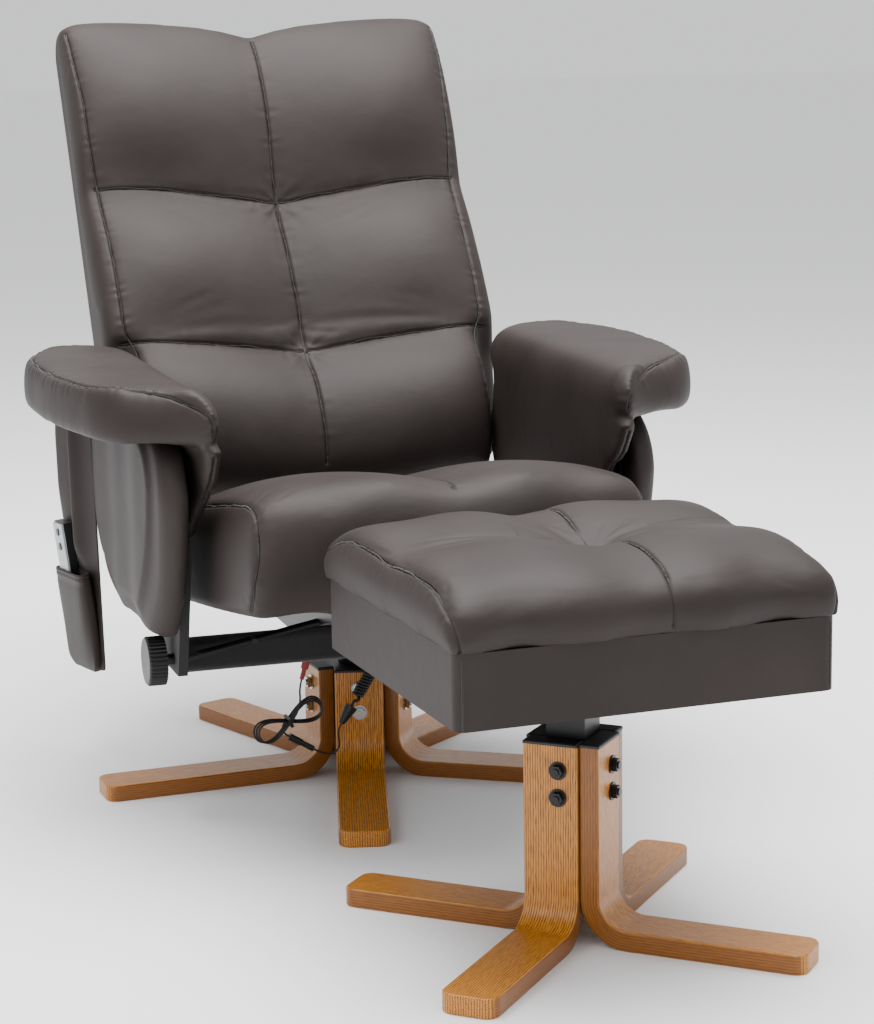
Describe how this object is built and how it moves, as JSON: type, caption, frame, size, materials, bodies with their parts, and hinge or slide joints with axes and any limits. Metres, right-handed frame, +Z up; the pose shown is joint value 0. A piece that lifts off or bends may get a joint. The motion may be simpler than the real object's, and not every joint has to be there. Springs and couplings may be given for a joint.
{
  "type": "massage recliner with footstool",
  "caption": "Leather swivel recliner with quilted back and seat, winged arms, bent plywood star base, massage handset in a side pocket and matching storage footstool.",
  "frame": {"origin": "middle of the whole part's footprint on the floor, 174.5 mm in front of the chair's swivel axis", "axes": "+Z up, -Y is the way the chair faces and where the footstool stands, +X is the sitter's left"},
  "size_m": [0.8396, 1.4959, 0.9923],
  "materials": {
    "honey_oak_ply": "clear gloss lacquer over bent plywood",
    "black_steel": "black powder coat",
    "chrome_fasteners": "bright nuts and washers",
    "black_caps": "moulded end caps",
    "taupe_leather": "smooth grained taupe leather",
    "board_wood": "bare board",
    "black_fabric": "woven black lining",
    "webbing": "elastic webbing",
    "motor_plastic": "round motor housings",
    "black_plastic": "moulded",
    "silver_plastic": "silver face plate",
    "red_plastic": "moulded plug body",
    "cord_rubber": "soft cord sheath",
    "zinc_hinge": "zinc plated"
  },
  "bodies": {
    "seat": {"arm_frames": "board_wood", "arm_inner_panel_left": "taupe_leather", "arm_inner_panel_right": "taupe_leather", "arm_outer_panel_left": "taupe_leather", "arm_outer_panel_right": "taupe_leather", "arm_pad_left": "taupe_leather", "arm_pad_right": "taupe_leather", "curly_boot": "black_plastic", "curly_cord": "cord_rubber", "inline_connector": "black_plastic", "lead_hank": "cord_rubber", "lead_lower": "cord_rubber", "lead_plug": "red_plastic", "lead_tie": "black_plastic", "lead_to_boot": "cord_rubber", "lead_upper": "cord_rubber", "massage_motors_seat": "motor_plastic", "recline_brackets": "black_steel", "recline_rods": "black_steel", "seat_cushion": "taupe_leather", "seat_frame": "black_steel", "seat_mechanism": "black_steel", "seat_webbing": "webbing", "side_pocket": "taupe_leather", "swivel_housing": "black_steel", "under_seat_crossbar": "black_fabric"},
    "base": {"base_leg_1": "honey_oak_ply", "base_leg_2": "honey_oak_ply", "base_leg_3": "honey_oak_ply", "base_leg_4": "honey_oak_ply", "base_leg_5": "honey_oak_ply", "base_hub": "black_steel", "base_leg_caps": "black_caps", "base_leg_bolts": "chrome_fasteners", "swivel_post": "black_steel"},
    "back": {"back_cushion": "taupe_leather", "back_frame": "black_steel", "back_hinge_plates": "black_steel", "back_rear_cover": "taupe_leather", "back_webbing": "webbing", "massage_motors_back": "motor_plastic"},
    "knob": {"recline_knob": "black_plastic"},
    "handset": {"handset_body": "black_plastic", "handset_face": "silver_plastic"},
    "power_button": {"handset_button_power": "black_plastic"},
    "mode_button": {"handset_button_mode": "black_plastic"},
    "stool": {"stool_leg_1": "honey_oak_ply", "stool_leg_2": "honey_oak_ply", "stool_leg_3": "honey_oak_ply", "stool_leg_4": "honey_oak_ply", "stool_column": "black_steel", "stool_leg_caps": "black_caps", "stool_leg_bolts": "black_steel", "stool_box": "taupe_leather", "stool_dust_cover": "black_fabric", "stool_hinges": "zinc_hinge"},
    "lid": {"stool_lid_hinge_leaves": "zinc_hinge", "stool_lid_board": "board_wood", "stool_lid_cushion": "taupe_leather"}
  },
  "joints": [
    {"name": "seat_swivel", "type": "hinge", "parent": "seat", "child": "base", "pos_m": [0, 0.1745, 0.1], "axis": [0, 0, 1], "continuous": true},
    {"name": "back_recline", "type": "hinge", "parent": "seat", "child": "back", "pos_m": [0, 0.3865, 0.292], "axis": [-1, 0, 0], "range_deg": [0, 30]},
    {"name": "recline_knob_turn", "type": "hinge", "parent": "seat", "child": "knob", "pos_m": [-0.3, 0.0165, 0.21], "axis": [1, 0, 0], "continuous": true},
    {"name": "handset_out_of_pocket", "type": "slide", "parent": "seat", "child": "handset", "axis": [-0.1103, 0.0546, 0.9924], "range_m": [0, 0.12]},
    {"name": "power_button_press", "type": "slide", "parent": "handset", "child": "power_button", "axis": [0.9864, 0.1282, 0.1026], "range_m": [0, 0.001], "stiffness_N_per_m": 1500},
    {"name": "mode_button_press", "type": "slide", "parent": "handset", "child": "mode_button", "axis": [0.9864, 0.1282, 0.1026], "range_m": [0, 0.001], "stiffness_N_per_m": 1500},
    {"name": "stool_set_out", "type": "slide", "parent": "seat", "child": "stool", "axis": [0, -1, 0], "range_m": [0, 0.4]},
    {"name": "stool_lid_lift", "type": "hinge", "parent": "stool", "child": "lid", "pos_m": [0.25959, -0.51688, 0.37915], "axis": [-0.0541, 0.9985, 0], "range_deg": [0, 95]}
  ]
}
